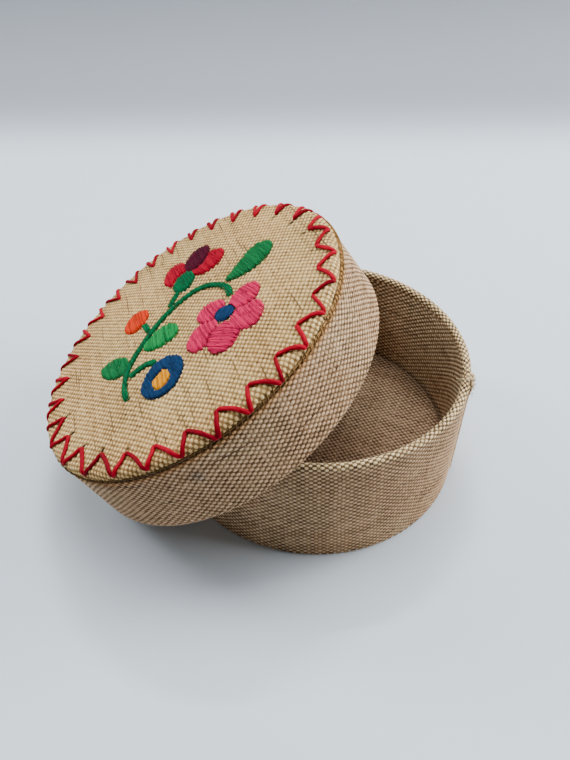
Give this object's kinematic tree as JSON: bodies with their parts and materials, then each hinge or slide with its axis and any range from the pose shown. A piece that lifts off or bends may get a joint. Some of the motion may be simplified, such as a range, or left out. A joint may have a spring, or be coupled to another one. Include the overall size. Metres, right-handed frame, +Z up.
{
  "type": "fabric-covered sewing box",
  "caption": "Round linen-covered board box with a separate padded, embroidered lid that leans against the rim of the open base.",
  "frame": {"origin": "centre of the base's flat underside, on the surface that it stands on", "axes": "+Z up along the axis of the base; the lid leans down towards -X; -Y is the front"},
  "size_m": [0.1382, 0.1102, 0.0826],
  "materials": {
    "linen": "coarse plain-weave natural linen",
    "lining": "the same linen, glued inside",
    "board": null,
    "padding": "white cotton wadding",
    "seam_thread": "golden brown sewing thread",
    "red_thread": "stranded cotton, matt sheen",
    "dark_green_thread": "stranded cotton",
    "green_thread": "stranded cotton",
    "maroon_thread": "stranded cotton",
    "orange_thread": "stranded cotton",
    "pink_thread": "stranded cotton",
    "blue_thread": "stranded cotton",
    "yellow_thread": "stranded cotton"
  },
  "bodies": {
    "base": {"base_bottom_cover": "linen", "base_floor_board": "board", "base_wall_board": "board", "base_outer_cover": "linen", "base_inner_lining": "lining", "base_floor_card": "board", "base_floor_padding": "padding", "base_floor_lining": "lining", "base_seam_strip": "linen"},
    "lid": {"lid_wall_board": "board", "lid_top_board": "board", "lid_side_cover": "linen", "lid_side_lining": "lining", "lid_ceiling_card": "board", "lid_ceiling_lining": "lining", "lid_top_cover": "linen", "lid_pad_card": "board", "lid_top_padding": "padding", "lid_seam_thread": "seam_thread", "edge_zigzag_stitch": "red_thread", "maroon_petal": "maroon_thread", "sepal": "dark_green_thread", "red_petal_right": "red_thread", "red_petal_left": "red_thread", "pink_flower_centre": "blue_thread", "navy_flower_centre": "yellow_thread", "navy_flower_ring": "blue_thread", "orange_bud": "orange_thread", "main_stem": "dark_green_thread", "sepal_stalk": "dark_green_thread", "bud_stalk": "dark_green_thread", "navy_flower_stalk": "dark_green_thread", "leaf_upper": "green_thread", "leaf_middle": "green_thread", "leaf_left": "green_thread", "pink_petal_1": "pink_thread", "pink_petal_2": "pink_thread", "pink_petal_3": "pink_thread", "pink_petal_4": "pink_thread", "pink_petal_5": "pink_thread"}
  },
  "joints": [
    {"name": "lid_lift", "type": "slide", "parent": "base", "child": "lid", "axis": [0, 0, 1], "range_m": [0, 0.06]}
  ]
}
